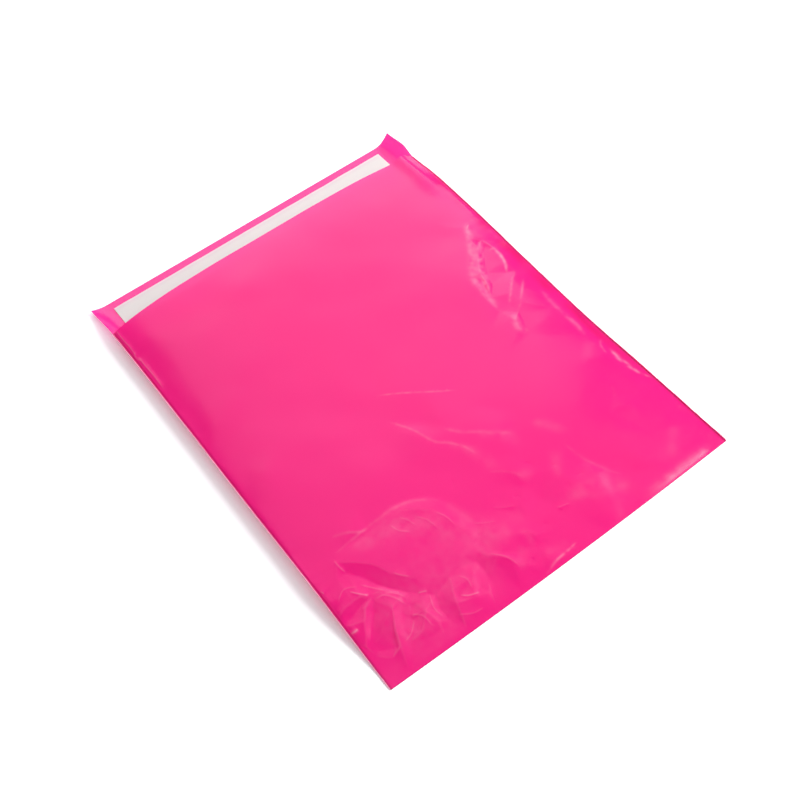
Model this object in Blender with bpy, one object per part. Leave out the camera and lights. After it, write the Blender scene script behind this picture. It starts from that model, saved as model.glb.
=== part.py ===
# Poly mailer bag: one thin film pocket with a closing flap, a glue strip and its release liner.
# Units are metres. The bag lies on its back panel: +Y runs from the folded bottom edge
# through the open mouth to the flap, +X to the right, +Z up. The origin is the middle of the
# bounding box's underside.

import math

import bmesh
import bpy
import numpy as np

# Film and its outline
pocket_width = 0.250
pocket_depth = 0.310
flap_depth = 0.032
film_gauge = 0.00006
weld_width = 0.001
fold_press = 0.0006
mouth_draw_in = 0.0012
draw_in_reach = 0.110
draw_in_release = 0.022

# Height of the front panel above the table
shelf_height = 0.0122
mouth_height = 0.0180
bottom_slope = 0.088
left_shoulder = 0.025
right_shoulder = 0.036

# Side seams, which stand off the table
left_lift = 0.0078
left_lift_run = 0.080
left_flap_lift = 0.0030
right_lift = 0.0105
right_lift_start = 0.205
right_lift_full = 0.030
right_mouth_lift = 0.0082
back_roll = 0.026
flap_roll = 0.0115

# Lip of the front panel beside the right end of the mouth
lip_height = 0.0042
lip_inset = 0.0085
lip_half_width = 0.0065
lip_run = 0.055

# Slow swells of the front panel
swell_height = 0.0005
swell_across = 0.083
swell_along = 0.104

# Gap between the panels below which swells and creases die away
crease_gap = 0.0042

# Grid of the film
fine_cell = 0.0054
coarse_cell = 0.0112
fine_reach = 0.050
coarse_reach = 0.110
flap_cell = 0.0080

# Glue strip and release liner on the flap
strip_width = 0.012
strip_gauge = 0.00010
strip_setback = 0.0075
strip_end_clearance = 0.0010
liner_overhang = 0.0030
liner_gauge = 0.00006

# Creases pressed into the front panel. Places are shares of the panel, across from the left
# seam and up from the bottom edge, and the last two values are the height and half width.
creases = [
    ([(0.07, 0.25), (0.11, 0.225), (0.155, 0.175), (0.20, 0.125)], 0.0016, 0.0075),
    ([(0.11, 0.26), (0.26, 0.265), (0.33, 0.23), (0.36, 0.165)], 0.0009, 0.0080),
    ([(0.01, 0.17), (0.06, 0.185), (0.09, 0.16)], 0.0009, 0.0060),
    ([(0.01, 0.11), (0.05, 0.135), (0.075, 0.155)], 0.0010, 0.0060),
    ([(0.12, 0.12), (0.09, 0.085), (0.06, 0.04), (0.05, 0.01)], 0.0013, 0.0065),
    ([(0.08, 0.105), (0.035, 0.07), (0.01, 0.02)], -0.0008, 0.0060),
    ([(0.165, 0.10), (0.17, 0.05)], 0.0008, 0.0060),
    ([(0.26, 0.10), (0.24, 0.06), (0.21, 0.005)], 0.0010, 0.0065),
    ([(0.335, 0.10), (0.325, 0.055), (0.30, 0.005)], -0.0009, 0.0065),
    ([(0.35, 0.11), (0.40, 0.065), (0.42, 0.01)], 0.0009, 0.0065),
    ([(0.955, 0.74), (0.89, 0.67), (0.845, 0.61), (0.825, 0.55)], 0.0011, 0.0085),
    ([(0.95, 0.655), (0.94, 0.605), (0.92, 0.58)], 0.0007, 0.0075),
    ([(0.945, 0.565), (0.865, 0.505)], 0.0006, 0.0080),
    ([(0.96, 0.33), (0.95, 0.30), (0.97, 0.23)], 0.0010, 0.0070),
    ([(0.40, 0.44), (0.46, 0.33), (0.50, 0.27)], 0.0008, 0.0080),
    ([(0.42, 0.50), (0.57, 0.42)], 0.0006, 0.0085),
]

bag_length = pocket_depth + flap_depth
flap_roll_start = pocket_depth - flap_roll
flap_roll_end = pocket_depth + strip_setback


def ramp(value, start, end):
    """Smooth step from 0 at start to 1 at end."""
    t = min(max((value - start) / (end - start), 0.0), 1.0)
    return t * t * (3.0 - 2.0 * t)


def smooth_min(a, b, blend):
    """The lesser of two values, with the corner between them rounded."""
    h = min(max(0.5 + 0.5 * (b - a) / blend, 0.0), 1.0)
    return b + (a - b) * h - blend * h * (1.0 - h)


def half_width(y):
    """Half the width of the film, drawn in a little where the mouth stands open."""
    reach = draw_in_reach if y < pocket_depth else draw_in_release
    return pocket_width / 2 - mouth_draw_in * math.exp(-((y - pocket_depth) / reach) ** 2)


def seam_height(side, y):
    """Height of the left (-1) or right (+1) seam above the table."""
    if side < 0:
        pocket = left_lift * ramp(y, 0.0, left_lift_run)
        return pocket + (left_flap_lift - left_lift) * ramp(y, pocket_depth, bag_length)
    pocket = right_lift * ramp(y, pocket_depth - right_lift_start, pocket_depth - right_lift_full)
    return pocket + (right_mouth_lift - right_lift) * ramp(y, pocket_depth - right_lift_full, pocket_depth)


def back_height(x, y):
    """Underside of the back panel and flap: flat on the table, rolled up towards the seams."""
    roll = back_roll + (flap_roll - back_roll) * ramp(y, flap_roll_start, flap_roll_end)
    inset = half_width(y) - abs(x)
    if inset >= roll:
        return 0.0
    return seam_height(math.copysign(1.0, x), y) * (1.0 - inset / roll) ** 2


def crease_height(x, y):
    """Sum of the creases, each a ridge or valley that fades towards both of its ends."""
    total = 0.0
    for shares, height, half in creases:
        points = [((a - 0.5) * pocket_width, b * pocket_depth) for a, b in shares]
        spans = [math.dist(p, q) for p, q in zip(points, points[1:])]
        along, best, place = 0.0, 1.0, 0.0
        for (px, py), (qx, qy), span in zip(points, points[1:], spans):
            t = ((x - px) * (qx - px) + (y - py) * (qy - py)) / span ** 2
            t = min(max(t, 0.0), 1.0)
            away = math.dist((x, y), (px + t * (qx - px), py + t * (qy - py)))
            if away < best:
                best, place = away, (along + t * span) / sum(spans)
            along += span
        if best < half:
            fade = min(1.0, 4.0 * place, 4.0 * (1.0 - place))
            total += height * (1.0 - best / half) * max(fade, 0.3)
    return total


def front_height(x, y):
    """Main form of the front panel: up from the fold, level, and down to both seams."""
    level = smooth_min(y / bottom_slope, 1.0, 0.35) * shelf_height
    level += (mouth_height - shelf_height) * ramp(y, bottom_slope, pocket_depth + bottom_slope / 2)
    height = level
    for side, shoulder in ((-1, left_shoulder), (1, right_shoulder)):
        inset = half_width(y) - side * x - weld_width
        height -= (level - seam_height(side, y)) * math.exp(-max(inset, 0.0) / shoulder)
    lip = math.exp(-((half_width(y) - x - lip_inset) / lip_half_width) ** 2)
    return height + lip_height * lip * ramp(y, pocket_depth - lip_run, pocket_depth)


def pocket_gap(x, y):
    """Clear height between the panels: nothing at the welds and the fold."""
    inset = half_width(y) - abs(x)
    if inset < weld_width * 1.001 or y < fold_press * 1.001:
        return 0.0
    swell = math.sin(2 * math.pi * (x + y / 3) / swell_across) * math.cos(2 * math.pi * y / swell_along)
    gap = max(front_height(x, y) - back_height(x, y), 0.02 * min(inset - weld_width, y - fold_press))
    crumple = swell_height * swell + crease_height(x, y)
    return gap + crumple * min(1.0, gap / crease_gap)


def stations(start, end, cell):
    """Grid lines from start to end whose spacing follows cell(position)."""
    fine = np.linspace(start, end, 2001)
    counts = np.concatenate([[0.0], np.cumsum((end - start) / 2000 / np.array([cell(p) for p in fine[1:]]))])
    steps = max(2, round(counts[-1]))
    return list(np.interp(np.linspace(0.0, counts[-1], steps + 1), counts, fine))


def cell_size(distance):
    """Small cells near the bottom left corner, where the film is gathered, larger ones beyond."""
    return fine_cell + (coarse_cell - fine_cell) * ramp(distance, fine_reach, coarse_reach)


def film_grid():
    """Columns as shares of the half width, and rows from the fold to the mouth and the flap's edge."""
    half = pocket_width / 2
    roll = flap_roll + mouth_draw_in / 2
    stops = [weld_width, roll, pocket_width - roll, pocket_width - weld_width]
    inner = [stops[0]]
    for start, end in zip(stops, stops[1:]):
        inner += stations(start, end, cell_size)[1:]
    columns = [-1.0] + [p / half - 1.0 for p in inner] + [1.0]
    pocket_rows = [0.0] + stations(fold_press, pocket_depth, cell_size)
    flap_rows = stations(pocket_depth, bag_length, lambda p: flap_cell)
    return columns, pocket_rows, flap_rows


def make_film(material):
    """The film as one closed body: outer skins, pocket walls, flap, and the cut edges between them."""
    columns, pocket_rows, flap_rows = film_grid()
    rows = pocket_rows + flap_rows[1:]
    last, mouth, end = len(columns) - 1, len(pocket_rows) - 1, len(rows) - 1
    mesh = bmesh.new()

    def place(i, j, rise):
        y = rows[j]
        inset = weld_width if i in (1, last - 1) else None
        x = columns[i] * half_width(y)
        if inset is not None:
            x = math.copysign(half_width(y) - inset, columns[i])
        if i in (0, last):
            x = columns[i] * half_width(y)
        return mesh.verts.new((x, y - bag_length / 2, back_height(x, y) + rise(x, y)))

    def layer(i_range, j_range, rise):
        return {(i, j): place(i, j, rise) for i in i_range for j in j_range}

    every, inside = range(last + 1), range(1, last)
    under = layer(every, range(end + 1), lambda x, y: 0.0)
    upper = layer(inside, range(1, mouth), lambda x, y: film_gauge)
    upper.update(layer(every, range(mouth, end + 1), lambda x, y: film_gauge))
    ceiling = layer(range(2, last - 1), range(2, mouth + 1), lambda x, y: film_gauge + pocket_gap(x, y))
    for i in inside:
        ceiling[i, 1] = upper[i, 1]
    for j in range(1, mouth + 1):
        ceiling[1, j] = upper[1, j]
        ceiling[last - 1, j] = upper[last - 1, j]
    front = layer(every, range(mouth + 1), lambda x, y: 2 * film_gauge + pocket_gap(x, y))

    def skin(grid, i_range, j_range, up):
        for i in i_range:
            for j in j_range:
                a, b = grid[i, j], grid[i + 1, j]
                c, d = grid[i + 1, j + 1], grid[i, j + 1]
                if columns[i] + columns[i + 1] < 0:
                    triangles = [(a, b, c), (a, c, d)]
                else:
                    triangles = [(a, b, d), (b, c, d)]
                for triangle in triangles:
                    mesh.faces.new(triangle if up else triangle[::-1])

    skin(under, range(last), range(end), False)
    skin(upper, range(1, last - 1), range(1, mouth), True)
    skin(upper, range(last), range(mouth, end), True)
    skin(ceiling, range(1, last - 1), range(1, mouth), False)
    skin(front, range(last), range(mouth), True)

    for i in range(last):
        mesh.faces.new((under[i, 0], under[i + 1, 0], front[i + 1, 0], front[i, 0]))
        mesh.faces.new((under[i + 1, end], under[i, end], upper[i, end], upper[i + 1, end]))
        lower = ceiling if 0 < i < last - 1 else upper
        mesh.faces.new((lower[i + 1, mouth], lower[i, mouth], front[i, mouth], front[i + 1, mouth]))
    for i, turn in ((0, 1), (last, -1)):
        for j in range(mouth):
            edge = [under[i, j + 1], under[i, j], front[i, j], front[i, j + 1]]
            if j == mouth - 1:
                edge.append(upper[i, mouth])
            mesh.faces.new(edge[::turn])
        for j in range(mouth, end):
            edge = [under[i, j + 1], under[i, j], upper[i, j], upper[i, j + 1]]
            mesh.faces.new(edge[::turn])
    return finish("bag_film", mesh, material, smooth=True)


def make_strip(name, width, length, middle, base, gauge, material):
    """A flat strip that lies across the flap."""
    mesh = bmesh.new()
    bmesh.ops.create_cube(mesh, size=1.0)
    for vertex in mesh.verts:
        vertex.co.x *= length
        vertex.co.y *= width
        vertex.co.z = (vertex.co.z + 0.5) * gauge
    strip = finish(name, mesh, material, smooth=False)
    strip.location = (0.0, middle - bag_length / 2, base)
    return strip


def finish(name, mesh, material, smooth):
    """Turn a bmesh into an object in the scene."""
    data = bpy.data.meshes.new(name)
    mesh.to_mesh(data)
    mesh.free()
    if smooth:
        data.shade_smooth()
        data.set_sharp_from_angle(angle=math.radians(60))
    data.materials.append(material)
    piece = bpy.data.objects.new(name, data)
    bpy.context.scene.collection.objects.link(piece)
    return piece


def make_material(name, colour, roughness):
    material = bpy.data.materials.new(name)
    material.use_nodes = True
    shader = material.node_tree.nodes["Principled BSDF"]
    shader.inputs["Base Color"].default_value = (*colour, 1.0)
    shader.inputs["Roughness"].default_value = roughness
    shader.inputs["Metallic"].default_value = 0.0
    material.diffuse_color = (*colour, 1.0)
    return material


for old in list(bpy.data.objects):
    bpy.data.objects.remove(old, do_unlink=True)

pink_film = make_material("pink_film", (0.93, 0.035, 0.27), 0.32)
glue = make_material("hot_melt_glue", (0.80, 0.76, 0.62), 0.45)
liner_paper = make_material("release_liner_film", (0.88, 0.88, 0.86), 0.50)

strip_length = pocket_width - 2 * (flap_roll + mouth_draw_in + strip_end_clearance)
strip_middle = pocket_depth + strip_setback + liner_overhang + strip_width / 2
make_film(pink_film)
make_strip("adhesive_strip", strip_width, strip_length, strip_middle, film_gauge, strip_gauge, glue)
make_strip("release_liner", strip_width + 2 * liner_overhang, strip_length, strip_middle,
           film_gauge + strip_gauge, liner_gauge, liner_paper)
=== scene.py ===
# Poly mailer bag, dressed: glossy film with its folds and welds, release liner, table, studio light

# Metres. The bag lies on its back panel, its folded bottom edge towards -Y and its mouth towards +Y.

import math
import random

import bmesh
import bpy
import numpy as np
from mathutils import Matrix, Vector, noise
from mathutils.geometry import delaunay_2d_cdt


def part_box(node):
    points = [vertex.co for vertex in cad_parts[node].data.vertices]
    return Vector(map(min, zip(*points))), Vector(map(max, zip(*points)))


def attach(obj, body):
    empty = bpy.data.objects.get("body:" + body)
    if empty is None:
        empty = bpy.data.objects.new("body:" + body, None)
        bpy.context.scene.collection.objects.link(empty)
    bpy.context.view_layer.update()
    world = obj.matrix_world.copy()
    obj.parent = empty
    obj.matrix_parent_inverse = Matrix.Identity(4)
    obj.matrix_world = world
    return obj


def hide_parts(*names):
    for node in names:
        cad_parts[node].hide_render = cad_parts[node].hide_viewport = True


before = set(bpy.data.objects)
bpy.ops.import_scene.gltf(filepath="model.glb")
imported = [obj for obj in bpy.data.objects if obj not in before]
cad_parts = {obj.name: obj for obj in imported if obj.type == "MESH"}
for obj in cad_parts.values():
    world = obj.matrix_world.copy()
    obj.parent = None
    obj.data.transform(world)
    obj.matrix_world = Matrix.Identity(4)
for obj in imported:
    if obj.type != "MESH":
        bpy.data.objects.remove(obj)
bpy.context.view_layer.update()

# The bag's own sizes, read from the frame
film_low, film_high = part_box("bag_film")
liner_low, liner_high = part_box("release_liner")
film_width = film_high[0] - film_low[0]
bag_length = film_high[1] - film_low[1]
bottom_y = film_low[1]
flap_depth = 0.032
pocket_depth = bag_length - flap_depth
film_gauge = 0.00006
panel_step = 2 * film_gauge

# How the film lies, as in the CAD
mouth_draw_in = 0.0012
draw_in_reach = 0.110
draw_in_release = 0.022
shelf_height = 0.0122
mouth_height = 0.0180
bottom_slope = 0.088
shelf_blend = 0.35
left_shoulder = 0.025
right_shoulder = 0.036
left_lift = 0.0078
left_lift_run = 0.080
left_flap_lift = 0.0030
right_lift = 0.0105
right_lift_start = 0.205
right_lift_full = 0.030
right_mouth_lift = 0.0082
back_roll = 0.026
flap_roll = 0.0115
strip_setback = 0.0075
lip_height = 0.0042
lip_inset = 0.0085
lip_half_width = 0.0065
lip_run = 0.055

# The film's edges: the bow of the bottom edge, the sides' slow waves, the flap's right edge leaning out
bottom_bow = 0.0014
bottom_bow_run = 0.050
side_wave = 0.0004
side_wave_size = 0.055
flap_lean = 0.0022
lean_share = 0.90
lean_start = -0.004
lean_full = 0.016
lean_easing = 0.012

# The side weld, a bead that a hot wire leaves as it cuts and seals both layers at once
bead_width = 0.0008
bead_radius = 0.00036
bead_roughness = 0.25
bead_roughness_size = 0.006
bead_overhang = 0.6
bead_taper = 0.001
bead_end = 0.25
bead_mouth_gap = 0.0002
bead_rows = 260
bead_sides = 8
# Painted highlight on each bead: pale on the left, faint on the right
left_bead_highlight = 2.4
right_bead_highlight = 0.3

# Deep colour at the welds, and painted shade in a mottled band along the steep flank inside the right
# seam
weld_reach = 0.0011
painted_shade_inset = 0.0035
painted_shade_wander = 0.0012
painted_shade_wander_size = 0.011
painted_shade_reach = 0.0030
painted_shade_depth = 0.75
painted_shade_start = 0.045
painted_shade_full = 0.130
shade_patch_size = 0.020
shade_patch_level = 0.7
shade_patch_contrast = 1.3
shade_patch_least = 0.15

# Where the film is free to crease: clear of the seams and of the bottom fold
free_inset = 0.004
free_rise = 0.005
dip_room = 0.0045

# Slack between the creases: height and size of its swells, and how far the folds stray off their lines
broad_swell = 0.0006
broad_swell_size = 0.070
small_swell = 0.00015
small_swell_size = 0.024
fold_stray = 0.0022
fold_stray_size = 0.018
pucker_height = 0.00055
pucker_size = 0.0052
pucker_reach = 0.006

# The sliver of film that stands up along the bottom fold, near its right end, and the painted highlight
# on it
sliver_start = 0.055
sliver_full = 0.085
sliver_easing = 0.105
sliver_end = 0.118
sliver_reach = 0.007
sliver_height = 0.0011
sliver_rise = 0.0012
sliver_highlight_strength = 0.9
sliver_highlight_rise = 0.0025
sliver_highlight_reach = 0.0035
sliver_cell = 0.004
sliver_level = 0.8
sliver_least = 0.2
sliver_most = 1.2

# A crease's tip and painted highlight line, how many reaches of its slope count, and how lines fade at
# their ends
crease_tip = 0.0004
crease_line = 0.00035
crease_highlight_strength = 0.7
crease_span = 5
fade_start = -0.05
crease_fade = 0.22
band_fade = 0.15

# The little cells that mottle a band of painted sheen, and how far its painted sheen reaches, in half
# widths
small_cell = 0.0034
large_cell = 0.0090
band_reach = 2.5
band_level = 0.70
small_cell_least = 0.3
large_cell_most = 0.6
large_cell_width = 4.0
band_least = 0.1
band_most = 1.5

# Painted highlight on ridges: its strength, the bend per metre it is measured by, and the least bend
# that gets it
ridge_highlight_strength = 0.16
ridge_bend = 250
ridge_least = 0.1

# The map of folds: its cell and edges, how high the folds stand, and how round they are in each zone
map_cell = 0.0004
map_half = 0.128
map_foot = -0.004
map_top = 0.316
fold_strength = 1.4
crisp_rounding = 0.0005
slope_rounding = 0.0011
soft_rounding = 0.0020
sharp_spread = 0.0010
crisp_gain = 1.3
crisp_zones = [((-0.085, 0.040), (0.050, 0.050)), ((0.100, 0.170), (0.030, 0.070))]
slope_middle = 0.035
slope_reach = 0.045

# Loose facets, in millimetres: how far apart their points lie, and how high they stand for that
facet_seed = 7
facet_tries = 5000
facet_across = (-128, 128)
facet_along = (-3, 316)
corner_zone = ((-88, 40), (38, 38))
right_zone = ((100, 180), (26, 60))
rim = [(-150, -30, 0), (150, -30, 0), (150, 340, 0), (-150, 340, 0)]
facet_closest = 0.62
facet_merge = 0.001
facet_slop = 1e-6
facet_spacing = 27
corner_closer = 17
right_closer = 12
slope_closer = 11
facet_height = 0.006
corner_higher = 0.012
slope_higher = 0.014

# A row of loose points inside the pressed band, in millimetres: where it starts and how far it runs
row_start = (85, 180)
row_run = (27, 38)
row_count = 9
row_stray = 1
row_heights = (-0.1, 0.5)

# The film's grid: its coarse cell, and how sharp a fold is, per metre, where each finer level starts
coarse_cell = 0.0032
fine_levels = [-1.0, 20.0, 55.0]
# How strong a painted highlight or sheen, or how high a crease, gets finer faces
fine_highlight = 0.05
fine_rise = 0.00006
fold_rows = [0.0, 0.0006, 0.0014]
seam_insets = [0.0, 0.0004, 0.0009, 0.0018]

# The liner's grid, and how it buckles over the glue
liner_columns = 180
liner_rows = 14
liner_rise = 0.00008
liner_swell = 0.00022
liner_swell_size = 0.018
liner_curl = 0.0002
liner_curl_size = 0.012

# Folds of the front panel: lines of (across, up from the bottom edge, height), in millimetres
folds = [
    # Patch on the bottom left of the plateau: its outline, and the raised film inside it
    [(-106, 77, 0.2), (-103, 82, 0.1), (-97, 83, 0.1), (-86, 82, 0.0), (-78, 83, 0.0), (-70, 85, 0.0),
     (-60, 85, 0.0), (-50, 83, 0.0), (-41, 79, 0.0), (-35, 70, 0.0), (-29, 59, 0.0), (-27, 48, 0.0),
     (-33, 38, 0.1)],
    [(-99, 93, 0.2), (-90, 88, 0.5), (-84, 85, 0.4), (-78, 83, 0.0)],
    [(-98, 78, 0.4), (-88, 78, 0.4), (-78, 79, 0.4), (-68, 80, 0.5), (-58, 79, 0.7), (-49, 75, 0.8),
     (-43, 69, 0.8), (-38, 60, 0.7), (-35, 50, 0.6), (-40, 42, 0.4)],
    # Its lower ridge, and the foot of the steep facet under it
    [(-103, 82, 0.2), (-106, 77, 0.4), (-98, 70, 0.7), (-92, 62, 0.9), (-86, 54, 1.0), (-80, 47, 0.95),
     (-76, 40, 0.7), (-73, 35, 0.4)],
    [(-106, 77, 0.3), (-105, 68, -0.1), (-99, 57, -0.2), (-95, 51, -0.2), (-89, 43, -0.1),
     (-85, 38, 0.0), (-79, 34, 0.1), (-73, 35, 0.4)],
    [(-88, 72, 0.7), (-81, 67, 0.8), (-74, 62, 0.9), (-69, 54, 0.9), (-66, 46, 0.8), (-64, 39, 0.6)],
    [(-68, 77, 0.6), (-65, 71, 0.5), (-61, 65, 0.7), (-60, 57, 0.7)],
    [(-52, 72, 0.6), (-50, 62, 0.8), (-52, 52, 0.6), (-46, 46, 0.7)],
    [(-57, 47, 0.7), (-54, 41, 0.6), (-47, 38, 0.5)],
    # Gathers that run into the bottom left corner
    [(-103, 46, 0.2), (-97, 47, 0.3), (-92, 43, 0.35), (-88, 38, 0.35), (-87, 33, 0.2), (-90, 27, 0.0)],
    [(-88, 30, -0.1), (-91, 26, -0.4), (-94, 21, -0.2)],
    [(-123, 51, 0.3), (-117, 53, 0.7), (-111, 53, 0.8), (-107, 52, 0.8), (-102, 49, 0.2)],
    [(-124, 46, 0.0), (-117, 47, -0.3), (-111, 48, -0.2), (-105, 48, 0.2)],
    [(-119, 66, 0.1), (-111, 69, 0.2), (-105, 68, -0.1)],
    [(-104, 47, 0.3), (-109, 45, 0.5), (-113, 40, 0.6), (-117, 33, 0.4), (-122, 27, 0.1)],
    [(-103, 46, 0.2), (-107, 40, -0.1), (-112, 34, -0.2), (-117, 27, -0.3), (-121, 20, -0.3)],
    [(-97, 36, 1.0), (-105, 33, 0.5), (-111, 28, 0.0), (-117, 21, -0.7), (-110, 18, -0.5),
     (-104, 26, 0.3), (-97, 36, 1.0)],
    [(-99, 32, 0.95), (-102, 26, 0.9), (-106, 17, 0.6), (-109, 8, 0.3), (-111, 2, 0.1)],
    [(-94, 31, 0.25), (-97, 24, 0.12), (-100, 16, 0.05), (-104, 7, 0.0)],
    [(-124, 3, 0.0), (-121, 11, -0.3), (-114, 14, 0.0), (-113, 8, 0.1)],
    [(-95, 20, 0.0), (-90, 17, 0.5), (-87, 10, 0.1)],
    [(-84, 32, 0.2), (-83, 24, 0.7), (-82, 15, 0.5), (-84, 6, 0.0)],
    [(-74, 34, 0.3), (-68, 37, 0.6), (-62, 36, 0.5)],
    [(-60, 32, 0.4), (-62, 26, 0.8), (-65, 19, 0.9), (-69, 10, 0.6), (-72, 2, 0.1)],
    [(-72, 29, -0.1), (-76, 20, -0.4), (-76, 11, -0.4), (-79, 3, 0.0)],
    [(-61, 20, 0.5), (-55, 15, 0.6), (-48, 11, 0.1)],
    [(-41, 31, -0.1), (-42, 25, -0.6), (-44, 17, -0.7), (-47, 9, -0.5), (-50, 2, -0.1)],
    [(-52, 33, 0.3), (-50, 24, 0.4)],
    [(-37, 34, 0.3), (-31, 26, 0.7), (-25, 20, 0.7), (-22, 12, 0.4), (-20, 4, 0.0)],
    [(-29, 26, 0.6), (-20, 20, 0.1)],
    [(-24, 36, 0.5), (-15, 29, 0.6), (-8, 21, 0.3)],
    [(-16, 2, 0.1), (-8, 5, 0.4), (4, 8, 0.0)],
    # Shallow facets of the slope, right of the gathers
    [(-1, 69, 0.1), (5, 65, 0.3), (10, 60, 0.4), (12, 54, 0.4), (11, 50, 0.1)],
    [(-14, 63, 0.0), (-4, 58, -0.1), (6, 52, 0.0)],
    [(38, 76, 0.2), (43, 68, 0.3), (46, 60, 0.2)],
    [(47, 56, 0.0), (48, 50, -0.2), (50, 42, -0.4), (53, 35, -0.5), (57, 27, -0.6), (61, 22, -0.6),
     (68, 17, -0.3)],
    [(24, 33, 0.2), (32, 31, 0.5), (41, 30, 0.6), (48, 31, 0.3)],
    [(28, 20, 0.2), (37, 17, 0.4), (45, 13, 0.3), (49, 8, 0.0)],
    [(27, 52, 0.1), (31, 45, 0.3), (33, 39, 0.3), (30, 33, 0.2)],
    [(49, 12, 0.0), (53, 7, -0.2), (57, 2, 0.0)],
    [(-16, 33, 0.5), (-10, 28, 0.5), (-7, 22, 0.5), (-9, 15, 0.1)],
    [(84, 12, 0.0), (95, 19, 0.3), (105, 28, 0.3), (110, 38, 0.0)],
    # Pressed band that runs down from the right side
    [(114, 230, 0.2), (109, 229, 0.4), (104, 219, 0.5), (97, 209, 0.6), (90, 200, 0.6), (84, 192, 0.6),
     (81, 182, 0.6), (80, 170, 0.4), (81, 158, 0.0)],
    [(110, 214, 0.4), (103, 208, 0.8), (97, 200, 0.8), (92, 191, 0.8), (88, 181, 0.7), (84, 171, 0.2)],
    [(108, 208, -0.1), (101, 199, -0.1), (96, 190, -0.1), (91, 179, 0.0)],
    [(109, 204, 0.2), (112, 203, 0.6), (112, 195, 0.7), (110, 188, 0.6), (105, 181, 0.1)],
    [(111, 179, 0.2), (104, 174, 0.5), (97, 167, 0.5), (90, 160, 0.1)],
    [(111, 171, 0.2), (104, 164, 0.5), (97, 157, 0.5), (91, 152, 0.1)],
    [(88, 151, 0.1), (84, 147, 0.5), (81, 140, 0.4), (84, 134, 0.0)],
    # Rounded ridge inside the right seam, and the folded dart below it
    [(117, 158, 0.1), (114, 150, 0.5), (113, 139, 0.7), (114, 125, 0.6), (113, 112, 0.1)],
    [(121, 106, 0.1), (115, 101, 0.5), (114, 93, 0.7), (115, 83, 0.7), (118, 71, 0.6), (124, 60, 0.0)],
    # Fine folds across the middle and on the left
    [(-19, 152, 0.1), (-7, 145, 0.5), (4, 136, 0.5), (18, 127, 0.1)],
    [(-26, 133, 0.1), (-18, 119, 0.5), (-14, 105, 0.6), (-8, 99, 0.5), (-3, 92, 0.4), (0, 84, 0.4),
     (3, 74, 0.1)],
    [(-11, 118, 0.0), (-3, 108, 0.4), (3, 100, 0.5), (12, 93, 0.5), (20, 86, 0.5), (27, 81, 0.1)],
    [(-121, 214, 0.0), (-110, 202, 0.4), (-98, 188, 0.0)],
    [(-112, 165, 0.0), (-105, 152, 0.4), (-97, 140, 0.0)],
]
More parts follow.
